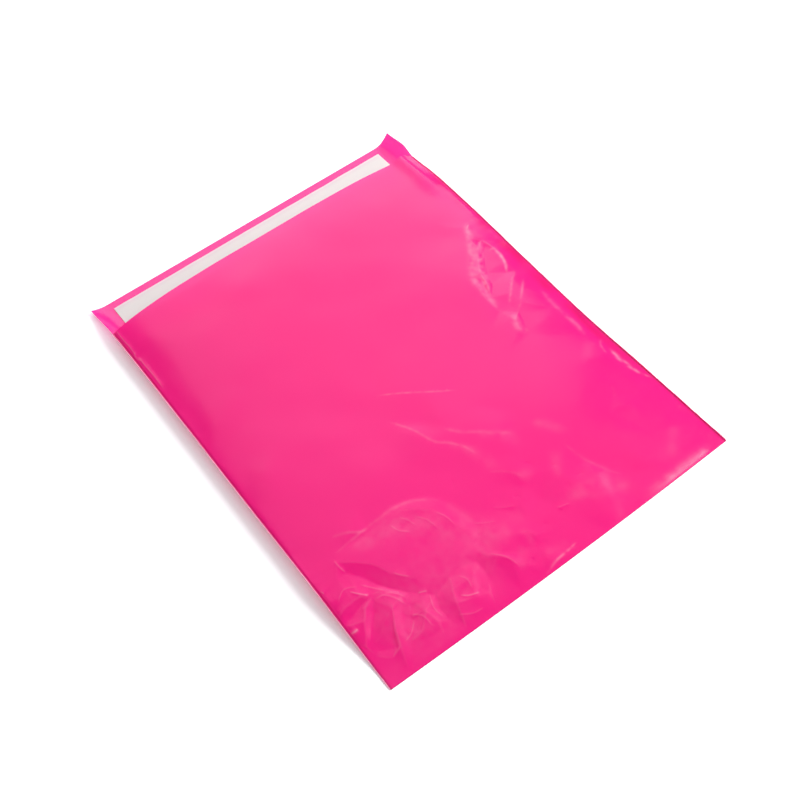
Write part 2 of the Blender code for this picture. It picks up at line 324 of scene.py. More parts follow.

# Fine creases: a line in millimetres, height, the slope's reach on its left and right, and the strength
# of the painted highlight along it
creases = [
    ([(-110, 58), (-107, 54), (-103, 50)], 0.3, 2.0, 1.5, 1.0),
    ([(-125, 39), (-122, 38), (-119, 38)], 0.3, 1.5, 1.5, 1.0),
    ([(-62, 20), (-58, 17), (-52, 15)], 0.2, 1.5, 2.0, 0.9),
    ([(-80, 35), (-75, 33)], 0.2, 1.5, 1.5, 0.7),
    ([(-84, 52), (-81, 48), (-78, 45)], 0.2, 2.0, 1.5, 0.5),
    ([(-106, 79), (-106, 74), (-105, 69)], 0.2, 1.5, 1.5, 0.5),
    ([(108, 227), (112, 230)], 0.2, 1.5, 1.5, 0.7),
    # The creased line inside the left seam, kinked halfway
    ([(-120.7, 312), (-120.9, 301), (-120.6, 293), (-120.8, 284)], 0.40, 1.4, 2.4, 0.9),
    ([(-120.7, 287), (-121.6, 282), (-120.4, 277)], 0.30, 1.0, 1.0, 0.9),
    ([(-120.5, 281), (-120.3, 271), (-120.1, 262), (-120.4, 249)], 0.40, 1.4, 2.4, 0.9),
    ([(-123, 69), (-122, 66)], 0.2, 1.2, 1.2, 1.0),
    # Fine creases of the patch and the gathers
    ([(-68, 77), (-66, 71), (-61, 66)], 0.14, 0.9, 1.3, 0.40),
    ([(-61, 77), (-58, 73), (-56, 67)], 0.12, 0.9, 1.1, 0.25),
    ([(-53, 72), (-49, 66), (-47, 58)], 0.12, 1.1, 0.9, 0.25),
    ([(-42, 67), (-39, 61), (-38, 54)], 0.12, 0.9, 1.1, 0.25),
    ([(-101, 46), (-96, 45), (-92, 40), (-89, 33)], 0.16, 0.9, 1.3, 0.40),
    ([(-95, 46), (-90, 42), (-87, 37)], 0.12, 0.9, 1.1, 0.30),
    ([(-103, 58), (-98, 52), (-93, 46)], 0.14, 0.9, 1.3, 0.40),
    ([(-119, 57), (-112, 61), (-105, 58)], 0.14, 0.9, 1.2, 0.30),
    ([(-91, 28), (-86, 23), (-85, 15)], 0.14, 0.9, 1.1, 0.40),
    ([(-75, 31), (-78, 23), (-77, 16)], 0.14, 1.1, 0.9, 0.40),
    ([(-56, 30), (-53, 25), (-54, 19)], 0.12, 0.9, 1.1, 0.30),
    ([(-33, 29), (-27, 22), (-24, 13)], 0.14, 0.9, 1.3, 0.40),
    ([(-70, 12), (-63, 8), (-56, 7)], 0.12, 0.9, 0.9, 0.30),
    ([(-103, 17), (-97, 19), (-91, 24)], 0.14, 0.9, 1.1, 0.40),
    ([(-29, 49), (-23, 45), (-17, 42)], 0.12, 1.1, 0.9, 0.15),
    ([(-14, 50), (-8, 46), (-2, 43)], 0.12, 0.9, 1.1, 0.10),
    # Short ticks of the slope
    ([(20, 62), (22, 58)], -0.14, 0.9, 0.9, 0.0),
    ([(31, 51), (34, 48)], -0.16, 0.9, 0.9, 0.0),
    ([(14, 24), (18, 26)], -0.16, 0.9, 0.9, 0.0),
    ([(16, 28), (20, 27), (24, 26)], 0.16, 0.8, 1.2, 0.3),
    ([(56, 15), (60, 17)], -0.14, 0.9, 0.9, 0.0),
    ([(1, 88), (4, 89)], -0.12, 0.9, 0.9, 0.0),
    ([(-18, 11), (-15, 13)], -0.16, 0.9, 0.9, 0.0),
    ([(-24, 74), (-21, 78)], -0.12, 0.9, 0.9, 0.0),
    ([(93, 64), (96, 69), (98, 73)], -0.10, 1.2, 0.9, 0.0),
    ([(0, 48), (4, 46)], -0.12, 0.9, 0.9, 0.0),
    ([(38, 37), (43, 36)], -0.12, 0.9, 1.2, 0.0),
    ([(-1, 25), (6, 24)], -0.10, 0.9, 0.9, 0.0),
]

# Bands of painted sheen: points of (across, up, half width) in millimetres, and the sheen's strength
painted_sheen_bands = [
    ([(116, 232, 1.4), (110, 229, 2.2), (104, 218, 2.6), (97, 207, 2.6), (90, 198, 2.6), (85, 190, 2.8),
      (83, 180, 2.6), (82, 170, 2.0), (81, 158, 1.6)], 0.55),
    ([(110, 213, 1.4), (103, 207, 2.4), (98, 200, 2.4), (93, 192, 2.4), (89, 184, 2.4),
      (85, 174, 1.6)], 0.60),
    ([(109, 204, 0.8), (112, 203, 1.1), (112, 196, 1.1), (110, 188, 1.0), (106, 182, 0.8)], 0.80),
    ([(111, 179, 0.8), (104, 174, 0.9), (97, 167, 0.9), (90, 160, 0.8)], 0.35),
    ([(111, 171, 0.8), (104, 164, 0.9), (97, 157, 0.9), (91, 152, 0.8)], 0.40),
    ([(87, 151, 1.6), (84, 147, 2.6), (82, 140, 2.8), (84, 134, 1.4)], 0.50),
    ([(115, 157, 1.2), (114, 150, 1.8), (113, 138, 1.8), (114, 125, 1.8), (113, 112, 1.2)], 0.30),
    ([(119, 104, 0.6), (115, 100, 0.8), (113, 93, 0.7)], 0.35),
    ([(118, 94, 1.0), (117, 86, 1.5), (118, 76, 1.4), (120, 68, 1.0), (124, 62, 0.6)], 0.80),
    ([(-125, 38, 0.9), (-122, 38, 1.1), (-119, 38, 0.8)], 0.55),
    ([(-103, 82, 0.7), (-90, 83, 0.9), (-75, 84, 0.9), (-60, 84, 1.2), (-48, 81, 1.2),
      (-38, 74, 1.0)], 0.22),
    ([(-99, 92, 0.7), (-90, 88, 0.9), (-84, 84, 0.9), (-78, 83, 0.7)], 0.20),
    ([(-21, 154, 0.5), (-13, 149, 0.7), (-3, 142, 0.7), (8, 134, 0.7), (20, 126, 0.5)], 0.30),
    ([(-27, 135, 0.7), (-19, 120, 0.9), (-14, 105, 0.9), (-8, 99, 0.9), (-2, 91, 0.8),
      (1, 82, 0.7)], 0.26),
    ([(-5, 110, 0.7), (3, 100, 1.1), (12, 93, 1.1), (20, 86, 1.4), (27, 81, 1.4)], 0.22),
    ([(-1, 69, 0.6), (5, 65, 0.8), (10, 60, 0.9), (13, 55, 1.2)], 0.14),
    ([(47, 57, 0.6), (48, 50, 0.8), (50, 42, 0.9), (53, 35, 0.9), (57, 27, 0.9), (61, 22, 0.6)], 0.16),
    ([(-16, 1, 0.6), (-6, 4, 0.7), (4, 5, 0.7), (11, 6, 0.5)], 0.80),
]

# Wider regions of soft painted sheen, written in the same way
painted_sheen_hazes = [
    ([(-9, 98, 2.0), (-3, 91, 3.0), (1, 84, 4.0), (2, 76, 4.5), (6, 68, 3.0)], 0.12),
    ([(9, 93, 1.6), (17, 86, 3.0), (24, 80, 4.0), (26, 73, 3.0)], 0.10),
    ([(11, 58, 2.5), (15, 55, 4.0), (17, 50, 3.0)], 0.14),
    ([(41, 80, 2.5), (47, 72, 3.5), (52, 65, 3.0), (55, 62, 1.5)], 0.15),
    ([(30, 42, 2.0), (34, 49, 3.5), (40, 57, 3.0)], 0.12),
    ([(24, 29, 3.0), (33, 27, 5.0), (44, 24, 6.0), (53, 19, 5.0), (60, 12, 4.0)], 0.20),
    ([(49, 45, 1.5), (51, 36, 2.5), (55, 27, 3.5)], 0.08),
    ([(-36, 44, 4.0), (-27, 39, 5.0), (-20, 35, 5.0), (-15, 31, 3.0)], 0.18),
    ([(-34, 68, 2.0), (-31, 58, 3.0), (-29, 49, 3.5)], 0.14),
    ([(-11, 30, 1.5), (-8, 25, 2.5), (-10, 19, 2.0)], 0.14),
    ([(-25, 12, 2.0), (-18, 18, 3.0), (-17, 24, 2.0)], 0.10),
    ([(-8, 12, 2.0), (0, 9, 3.0), (8, 8, 2.0)], 0.10),
    ([(90, 12, 2.5), (100, 19, 3.5), (108, 28, 3.0)], 0.08),
    ([(-96, 78, 3.0), (-80, 76, 5.0), (-64, 74, 7.0), (-53, 67, 8.0), (-44, 56, 7.0),
      (-38, 44, 5.0)], 0.20),
    ([(-66, 75, 1.5), (-63, 69, 1.5), (-60, 64, 1.5)], 0.10),
    ([(-96, 46, 2.0), (-91, 42, 2.0), (-88, 36, 2.0)], 0.12),
    ([(-112, 18, 22.0), (-74, 32, 28.0), (-40, 34, 20.0), (-24, 30, 14.0)], 0.18),
    ([(-40, 52, 6.0), (-28, 46, 8.0), (-12, 40, 8.0), (2, 34, 6.0)], 0.06),
]


def ramp(value, start, end):
    """A smooth step from nought to one."""
    t = np.clip((value - start) / (end - start), 0.0, 1.0)
    return t * t * (3.0 - 2.0 * t)


def smooth_min(a, b, blend):
    """The lesser of two, rounded where they meet."""
    h = np.clip(0.5 + 0.5 * (b - a) / blend, 0.0, 1.0)
    return b + (a - b) * h - blend * h * (1.0 - h)


def end_fade(place, run):
    """Full along a line, fading out towards its two ends."""
    return ramp(place, fade_start, run) * ramp(1.0 - place, fade_start, run)


def nearness(across, along, centre, reach):
    """One at the centre, falling off at its own rate across and along."""
    return np.exp(-((across - centre[0]) / reach[0]) ** 2 - ((along - centre[1]) / reach[1]) ** 2)


def slack(x, y, size, seed):
    """Soft unevenness of slack film, from smooth noise of the given size."""
    return np.array([noise.noise(Vector((a, b, seed))) for a, b in zip(x / size, y / size)])


def half_width(y):
    """Half the film's width, drawn in a little at the mouth."""
    reach = np.where(y < pocket_depth, draw_in_reach, draw_in_release)
    return film_width / 2 - mouth_draw_in * np.exp(-((y - pocket_depth) / reach) ** 2)


def seam_heights(y):
    """How far the left and the right seam stand off the table."""
    left = left_lift * ramp(y, 0.0, left_lift_run)
    left += (left_flap_lift - left_lift) * ramp(y, pocket_depth, bag_length)
    full = pocket_depth - right_lift_full
    right = right_lift * ramp(y, pocket_depth - right_lift_start, full)
    right += (right_mouth_lift - right_lift) * ramp(y, full, pocket_depth)
    return left, right


def back_height(x, y):
    """The back panel's form: flat, rolling up to its seams."""
    narrowing = ramp(y, pocket_depth - flap_roll, pocket_depth + strip_setback)
    roll = back_roll + (flap_roll - back_roll) * narrowing
    left, right = seam_heights(y)
    inset = half_width(y) - abs(x)
    return np.where(x < 0, left, right) * np.clip(1.0 - inset / roll, 0.0, 1.0) ** 2


def plateau_height(x, y):
    """The front panel's main form: a slope up from the fold, a long plateau, and two shoulders."""
    from_left = np.maximum(half_width(y) + x - bead_width, 0.0)
    from_right = np.maximum(half_width(y) - x - bead_width, 0.0)
    left, right = seam_heights(y)
    level = smooth_min(y / bottom_slope, 1.0, shelf_blend) * shelf_height
    level += (mouth_height - shelf_height) * ramp(y, bottom_slope, pocket_depth + bottom_slope / 2)
    front = level - (level - left) * np.exp(-from_left / left_shoulder)
    front -= (level - right) * np.exp(-from_right / right_shoulder)
    lip = lip_height * np.exp(-((from_right - lip_inset) / lip_half_width) ** 2)
    return front + lip * ramp(y, pocket_depth - lip_run, pocket_depth)


def smooth_path(points, steps=8):
    """Points along a smooth curve through the given ones, in metres."""
    points = [np.array(point, float) / 1000 for point in points]
    ends = [2 * points[0] - points[1]] + points + [2 * points[-1] - points[-2]]
    path = []
    for a, b, c, d in zip(ends, ends[1:], ends[2:], ends[3:]):
        for t in np.linspace(0.0, 1.0, steps, endpoint=False):
            path.append(0.5 * (2 * b + (c - a) * t + (2 * a - 5 * b + 4 * c - d) * t ** 2
                               + (3 * b - 3 * c + d - a) * t ** 3))
    path.append(points[-1])
    return np.array(path)


def points_near(x, y, path, margin):
    """Which points lie in the box round a path, with a margin."""
    low, high = path.min(0) - margin, path.max(0) + margin
    return np.nonzero((x > low[0]) & (x < high[0]) & (y > low[1]) & (y < high[1]))[0]


def path_distance(x, y, path):
    """How far each point is from a path, how far along the path that is, and on which side."""
    spans = np.linalg.norm(np.diff(path, axis=0), axis=1)
    starts = np.concatenate([[0.0], np.cumsum(spans)])
    best = np.full(x.shape, 1.0)
    place = np.zeros(x.shape)
    side = np.zeros(x.shape)
    for (px, py), (qx, qy), span, start in zip(path, path[1:], spans, starts):
        ux, uy = (qx - px) / span, (qy - py) / span
        t = np.clip((x - px) * ux + (y - py) * uy, 0.0, span)
        away = np.hypot(x - px - t * ux, y - py - t * uy)
        nearer = away < best
        best = np.where(nearer, away, best)
        place = np.where(nearer, (start + t) / starts[-1], place)
        side = np.where(nearer, ux * (y - py) - uy * (x - px), side)
    return best, place, side


def add_crease(heights, painted_highlight, x, y, points, height, left_reach, right_reach, white):
    """A pressed fold: sharp along its path, sloping away at its own rate on each side, with a painted
    highlight along its tip.
    """
    path = smooth_path(points)
    near = points_near(x, y, path, crease_span * max(left_reach, right_reach) / 1000)
    away, place, side = path_distance(x[near], y[near], path)
    reach = np.where(side > 0, left_reach, right_reach) / 1000
    fade = end_fade(place, crease_fade)
    slope = np.exp(-(np.sqrt(away ** 2 + crease_tip ** 2) - crease_tip) / reach)
    heights[near] += height / 1000 * fade * slope
    # Painted highlight: a pale line along the crease's tip
    painted_highlight[near] += crease_highlight_strength * white * fade * np.exp(-(away / crease_line) ** 2)


def add_painted_sheen(painted_highlight, x, y, points, strength):
    """Painted sheen along a band, mottled by little cells of smooth noise."""
    path = smooth_path([point[:2] for point in points])
    given = np.linspace(0, 1, len(points))
    widths = np.interp(np.linspace(0, 1, len(path)), given, [point[2] for point in points])
    near = points_near(x, y, path, band_reach * widths.max() / 1000)
    if len(near) == 0:
        return
    away, place, _ = path_distance(x[near], y[near], path)
    width = np.interp(place, np.linspace(0, 1, len(widths)), widths) / 1000
    mottle = band_level + (small_cell_least + strength) * slack(x[near], y[near], small_cell, seed=8.3)
    large_cells = slack(x[near], y[near], large_cell, seed=5.9)
    mottle += min(large_cell_most, large_cell_width / widths.max()) * large_cells
    mottle = np.clip(mottle, band_least, band_most)
    painted_highlight[near] += strength * end_fade(place, band_fade) * mottle * np.exp(-(away / width) ** 2)


def fold_points():
    """The folds' own points, and between them loose points at random heights that break the rest
    of the panel into facets: small ones in the bottom left corner, large ones on the plateau."""
    draw = random.Random(facet_seed)
    points = []
    lines = []
    for fold in folds:
        numbers = []
        for point in fold:
            if point not in points:
                points.append(point)
            numbers.append(points.index(point))
        lines += list(zip(numbers, numbers[1:]))
    for share in np.linspace(0.0, 1.0, row_count):
        across = row_start[0] + row_run[0] * share + draw.uniform(-row_stray, row_stray)
        points.append((across, row_start[1] + row_run[1] * share, draw.uniform(*row_heights)))
    for _ in range(facet_tries):
        across, along = draw.uniform(*facet_across), draw.uniform(*facet_along)
        corner = nearness(across, along, *corner_zone)
        right = nearness(across, along, *right_zone)
        slope = math.exp(-((along / 1000 - slope_middle) / slope_reach) ** 2)
        spacing = facet_spacing - corner_closer * corner - right_closer * right
        spacing -= slope_closer * slope * (1 - corner)
        rise = (facet_height + corner_higher * corner + slope_higher * slope) * spacing
        height = rise * draw.uniform(-1, 1)
        closest = (facet_closest * spacing) ** 2
        if all((across - point[0]) ** 2 + (along - point[1]) ** 2 > closest for point in points):
            points.append((across, along, height))
    return points + rim, lines


def map_facet(grid, corners, heights):
    """Fill one facet into the map of folds."""
    length, width = grid.shape
    (ax, ay), (bx, by), (cx, cy) = corners
    first = max(int((min(ax, bx, cx) + map_half) / map_cell), 0)
    last = min(int((max(ax, bx, cx) + map_half) / map_cell) + 2, width)
    lowest = max(int((min(ay, by, cy) - map_foot) / map_cell), 0)
    highest = min(int((max(ay, by, cy) - map_foot) / map_cell) + 2, length)
    x = np.arange(first, last) * map_cell - map_half
    y = (np.arange(lowest, highest) * map_cell + map_foot)[:, None]
    area = (bx - ax) * (cy - ay) - (cx - ax) * (by - ay)
    b = ((x - ax) * (cy - ay) - (cx - ax) * (y - ay)) / area
    c = ((bx - ax) * (y - ay) - (x - ax) * (by - ay)) / area
    inside = (b >= -facet_slop) & (c >= -facet_slop) & (b + c <= 1 + facet_slop)
    ha, hb, hc = heights
    grid[lowest:highest, first:last][inside] = (ha + b * (hb - ha) + c * (hc - ha))[inside]


def make_fold_map():
    """Heights of the facets on a fine grid in the bag's plane, their folds slightly rounded, and how
    sharply each place is folded."""
    points, lines = fold_points()
    flat = [Vector((point[0], point[1])) for point in points]
    verts, _, faces, source, *_ = delaunay_2d_cdt(flat, lines, [], 0, facet_merge)
    heights = [np.mean([points[k][2] for k in found]) if found else 0.0 for found in source]
    width, length = round(2 * map_half / map_cell) + 1, round((map_top - map_foot) / map_cell) + 1
    grid = np.zeros((length, width))
    for face in faces:
        corners = [verts[k] / 1000 for k in face]
        map_facet(grid, corners, [fold_strength * heights[k] / 1000 for k in face])
    across = np.arange(width) * map_cell - map_half
    along = (np.arange(length) * map_cell + map_foot)[:, None]
    crisp = sum(nearness(across, along, *zone) for zone in crisp_zones)
    crisp = np.clip(crisp_gain * crisp, 0.0, 1.0)
    slope = np.exp(-((along - slope_middle) / slope_reach) ** 2) * (1 - crisp)
    folded = crisp * soften(grid, crisp_rounding) + slope * soften(grid, slope_rounding)
    folded += (1 - crisp - slope) * soften(grid, soft_rounding)
    beside = folded[2:, 1:-1] + folded[:-2, 1:-1] + folded[1:-1, 2:] + folded[1:-1, :-2]
    bend = np.zeros_like(folded)
    bend[1:-1, 1:-1] = beside - 4 * folded[1:-1, 1:-1]
    return folded, bend / map_cell ** 2


def soften(grid, size):
    """A smooth blur of the given size."""
    reach = round(3 * size / map_cell)
    weights = np.exp(-0.5 * (np.arange(-reach, reach + 1) * map_cell / size) ** 2)
    weights /= weights.sum()
    for axis in (0, 1):
        margins = [(reach, reach) if axis == k else (0, 0) for k in (0, 1)]
        padded = np.pad(grid, margins, mode="edge")
        cells = np.arange(grid.shape[axis])
        grid = sum(weight * padded.take(cells + k, axis) for k, weight in enumerate(weights))
    return grid


def read_map(grid, x, y):
    """A map's value at each point, smooth between its cells."""
    across = np.clip((x + map_half) / map_cell, 0, grid.shape[1] - 1.001)
    along = np.clip((y - map_foot) / map_cell, 0, grid.shape[0] - 1.001)
    i, j = across.astype(int), along.astype(int)
    u, v = across - i, along - j
    low = grid[j, i] * (1 - u) + grid[j, i + 1] * u
    high = grid[j + 1, i] * (1 - u) + grid[j + 1, i + 1] * u
    return low * (1 - v) + high * v


def strayed(x, y):
    """Where the map of folds is read, so that its straight folds stray a little."""
    stray = fold_stray * slack(x, y, fold_stray_size, seed=3.3)
    return x + stray, y + stray


def front_forms(x, y, inset):
    """What creases, folds, swells and puckers add to the front panel, and the painted highlights and
    sheen laid on it.
    """
    forms = np.zeros(len(x))
    painted_highlight = np.zeros(len(x))
    for crease in creases:
        add_crease(forms, painted_highlight, x, y, *crease)
    # Painted sheen, in bands and wider hazes
    for band in painted_sheen_bands + painted_sheen_hazes:
        add_painted_sheen(painted_highlight, x, y, *band)
    swells = broad_swell * slack(x, y, broad_swell_size, seed=1.7)
    forms += swells + small_swell * slack(x, y, small_swell_size, seed=4.2)
    place = strayed(x, y)
    forms += read_map(fold_map, *place)
    pucker = pucker_height * slack(x * 0, y, pucker_size, seed=2.2)
    forms += pucker * np.exp(-inset / pucker_reach)
    along_fold = ramp(x, sliver_start, sliver_full) * (1 - ramp(x, sliver_easing, sliver_end))
    sliver = along_fold * np.exp(-y / sliver_reach)
    forms += sliver_height * sliver * (1 - np.exp(-y / sliver_rise))
    # Painted highlight along the sliver, mottled
    highlight_line = np.exp(-((y - sliver_highlight_rise) / sliver_highlight_reach) ** 2)
    mottle = np.clip(sliver_level + slack(x, y, sliver_cell, seed=2.7), sliver_least, sliver_most)
    painted_highlight += sliver_highlight_strength * sliver * highlight_line * mottle
    # Painted highlight on ridges, as strong as the folds bend
    ridges = -read_map(bend_map, *place) / ridge_bend
    painted_highlight += ridge_highlight_strength * np.clip(ridges - ridge_least, 0.0, 1.0)
    return forms, painted_highlight


def edge_shift(share, y):
    """How far the film's sides wave, and how far the flap's right edge leans out past the mouth."""
    wave = side_wave * slack(share * 0 + 3, y, side_wave_size, seed=9.1) * share
    past = y - pocket_depth
    lean = flap_lean * ramp(share, lean_share, 1.0) * ramp(past, lean_start, lean_full)
    return wave + lean * (1 - ramp(past, lean_easing, flap_depth))


def colour_depth(x, y, inset, in_front):
    """How much deeper the film's colour is: its own at the welds, and painted shade in a mottled band
    inside the right seam.
    """
    depth = np.exp(-(inset / weld_reach) ** 2) * (y < pocket_depth)
    # Painted shade: a mottled band of deeper colour along the steep flank inside the right seam
    stray = painted_shade_wander * slack(x, y, painted_shade_wander_size, seed=7.4)
    flank_shade = np.exp(-((inset - painted_shade_inset - stray) / painted_shade_reach) ** 2) * (x > 0) * in_front
    shade_mottle = shade_patch_level + shade_patch_contrast * slack(x * 0, y, shade_patch_size, seed=6.6)
    shade_mottle = np.clip(shade_mottle, shade_patch_least, 1.0)
    return depth + painted_shade_depth * flank_shade * shade_mottle * ramp(y, painted_shade_start, painted_shade_full)


def film_shape(share, y, in_front):
    """Where each point of the film lies, how much painted highlight it has, and how deep its colour is.
    """
    x = share * half_width(y)
    inset = half_width(y) - abs(x)
    back = back_height(x, y)
    gap = np.maximum(plateau_height(x, y) - back, 0.0)
    gap *= ramp(inset, 0.0, 2 * bead_width)
    forms, painted_highlight = front_forms(x, y, inset)
    free = ramp(inset, 0.0, free_inset) * ramp(y, 0.0, free_rise)
    dips = np.minimum(forms, 0.0) * np.minimum(1.0, gap / dip_room)
    front = back + panel_step + np.maximum(gap + free * (np.maximum(forms, 0.0) + dips), 0.0)
    z = np.where(in_front, front, back) + film_gauge / 2
    bow = bottom_bow * (1.0 - share ** 2) * (1.0 - ramp(y, 0.0, bottom_bow_run))
    depth = colour_depth(x, y, inset, in_front)
    return x + edge_shift(share, y), y - bow, z, painted_highlight * in_front * free, depth


def add_weld_beads(mesh, highlight_layer):
    """The rounded bead of melted film along each side seam, from the fold to the mouth, with a painted
    highlight on it.
    """
    rows = np.linspace(0.0, pocket_depth - bead_mouth_gap, bead_rows)
    radius = bead_radius * (1 + bead_roughness * slack(rows * 0, rows, bead_roughness_size, seed=5.5))
    radius *= np.clip(np.minimum(rows, rows[::-1]) / bead_taper, bead_end, 1.0)
    for side, bead_highlight in ((-1.0, left_bead_highlight), (1.0, right_bead_highlight)):
        x, y, z, _, _ = film_shape(rows * 0 + side, rows, np.zeros(len(rows), bool))
        rings = []
        for px, py, pz, size in zip(x, y + bottom_y, z, radius):
            ring = []
            for k in range(bead_sides):
                turn = side * 2 * math.pi * k / bead_sides
                across = side * size * (bead_overhang + math.cos(turn))
                up = max(pz, size) + size * math.sin(turn)
                ring.append(mesh.verts.new((px + across, py, up)))
                # Painted highlight on the bead
                ring[-1][highlight_layer] = bead_highlight
            rings.append(ring)
        for lower, upper in zip(rings, rings[1:]):
            for a, b, c, d in zip(lower, upper, upper[1:] + upper[:1], lower[1:] + lower[:1]):
                mesh.faces.new((a, b, c, d))
        mesh.faces.new(rings[0][::-1])
        mesh.faces.new(rings[-1])


def flat_film():
    """The film laid out flat, as share of the half width and height up the bag: the back panel with
    its flap at level 0 and the front panel at level 1, joined along the fold and both welds."""
    rows = fold_rows + list(np.linspace(coarse_cell, pocket_depth, round(pocket_depth / coarse_cell)))
    mouth = len(rows) - 1
    rows += list(np.linspace(pocket_depth, bag_length, round(flap_depth / coarse_cell) + 1))[1:]
    middle = np.linspace(coarse_cell, film_width - coarse_cell, round(film_width / coarse_cell) - 1)
    columns = seam_insets + list(middle) + [film_width - inset for inset in seam_insets[::-1]]
    shares = [column / film_width * 2 - 1 for column in columns]
    mesh = bmesh.new()
    lower = [[mesh.verts.new((share, row, 0.0)) for share in shares] for row in rows]
    upper = [list(line) for line in lower[:mouth + 1]]
    for j in range(1, mouth + 1):
        for i in range(1, len(shares) - 1):
            upper[j][i] = mesh.verts.new((shares[i], rows[j], 1.0))
    for near, far in zip(lower, lower[1:]):
        for a, b, c, d in zip(near, far, far[1:], near[1:]):
            mesh.faces.new((a, b, c, d))
    for near, far in zip(upper, upper[1:]):
        for a, b, c, d in zip(near, near[1:], far[1:], far):
            mesh.faces.new((a, b, c, d))
    return mesh


def refine_front(mesh):
    """Finer faces round the folds and creases of the front panel, a level at a time."""
    for sharpness in fine_levels:
        faces = [face for face in mesh.faces if face.calc_center_median().z > 0.2]
        middles = np.array([face.calc_center_median()[:2] for face in faces])
        x, y = middles[:, 0] * half_width(middles[:, 1]), middles[:, 1]
        rise = np.zeros(len(x))
        white = np.zeros(len(x))
        for band in painted_sheen_bands:
            add_painted_sheen(white, x, y, *band)
        for crease in creases:
            add_crease(rise, white, x, y, *crease)
        sharp = read_map(sharp_map, *strayed(x, y)) > sharpness
        fine = sharp | (white > fine_highlight) | (abs(rise) > fine_rise)
        edges = {edge for face, chosen in zip(faces, fine) if chosen for edge in face.edges}
        bmesh.ops.subdivide_edges(mesh, edges=list(edges), cuts=1, use_grid_fill=True)


def make_film():
    """The film as one sheet, folded at the bottom, welded at both sides and open at the mouth."""
    mesh = flat_film()
    refine_front(mesh)
    flat = np.array([vert.co for vert in mesh.verts])
    x, y, z, white, depth = film_shape(flat[:, 0], flat[:, 1], flat[:, 2] > 0.01)
    highlight_layer = mesh.verts.layers.float.new("crease_painted_highlight")
    depth_layer = mesh.verts.layers.float.new("weld_depth_and_painted_shade")
    places = zip(x, y + bottom_y, z)
    for vert, place, vert_highlight, vert_depth in zip(mesh.verts, places, white, depth):
        vert.co = place
        vert[highlight_layer] = vert_highlight
        vert[depth_layer] = vert_depth
    add_weld_beads(mesh, highlight_layer)
    data = bpy.data.meshes.new("mailer_film")
    mesh.to_mesh(data)
    mesh.free()
    return show_mesh(data)


def make_liner():
    """The release liner: a thin strip that lies over the glue, slightly buckled along its length."""
    xs = np.linspace(liner_low[0], liner_high[0], liner_columns)
    ys = np.linspace(liner_low[1], liner_high[1], liner_rows)
    x, y = (grid.ravel() for grid in np.meshgrid(xs, ys))
    from_middle = np.abs((y - (liner_low[1] + liner_high[1]) / 2) / (liner_high[1] - liner_low[1]) * 2)
    swell = liner_swell * (1 + slack(x, y, liner_swell_size, seed=3.1))
    curl = liner_curl * from_middle ** 2 * (1 + slack(x, y * 0, liner_curl_size, seed=6.1))
    z = liner_low[2] + liner_rise + (swell + curl)
    faces = []
    for j in range(liner_rows - 1):
        for i in range(liner_columns - 1):
            a = j * liner_columns + i
            faces.append((a, a + 1, a + liner_columns + 1, a + liner_columns))
    data = bpy.data.meshes.new("liner_strip")
    data.from_pydata(list(zip(x, y, z)), [], faces)
    return show_mesh(data)


def show_mesh(data):
    """A smooth-shaded object that shows a mesh, named like it."""
    data.shade_smooth()
    shown = bpy.data.objects.new(data.name, data)
    bpy.context.scene.collection.objects.link(shown)
    return shown


def new_material(name):
    """An empty material and its node tree."""
    material = bpy.data.materials.new(name)
    material.use_nodes = True
    tree = material.node_tree
    tree.nodes.clear()
    return material, tree


def node(tree, kind, **values):
    """A new node with its sockets and settings set by name."""
    made = tree.nodes.new(kind)
    for key, value in values.items():
        name = key.replace("_", " ")
        if name in made.inputs:
            made.inputs[name].default_value = value
        else:
            setattr(made, key, value)
    return made


def mix_colour(tree, first, second):
    """A colour mix whose first and second colours are sockets or colours of their own."""
    mix = node(tree, "ShaderNodeMix", data_type="RGBA", clamp_factor=True)
    for socket, colour in ((mix.inputs[6], first), (mix.inputs[7], second)):
        if isinstance(colour, tuple):
            socket.default_value = colour
        else:
            tree.links.new(colour, socket)
    return mix


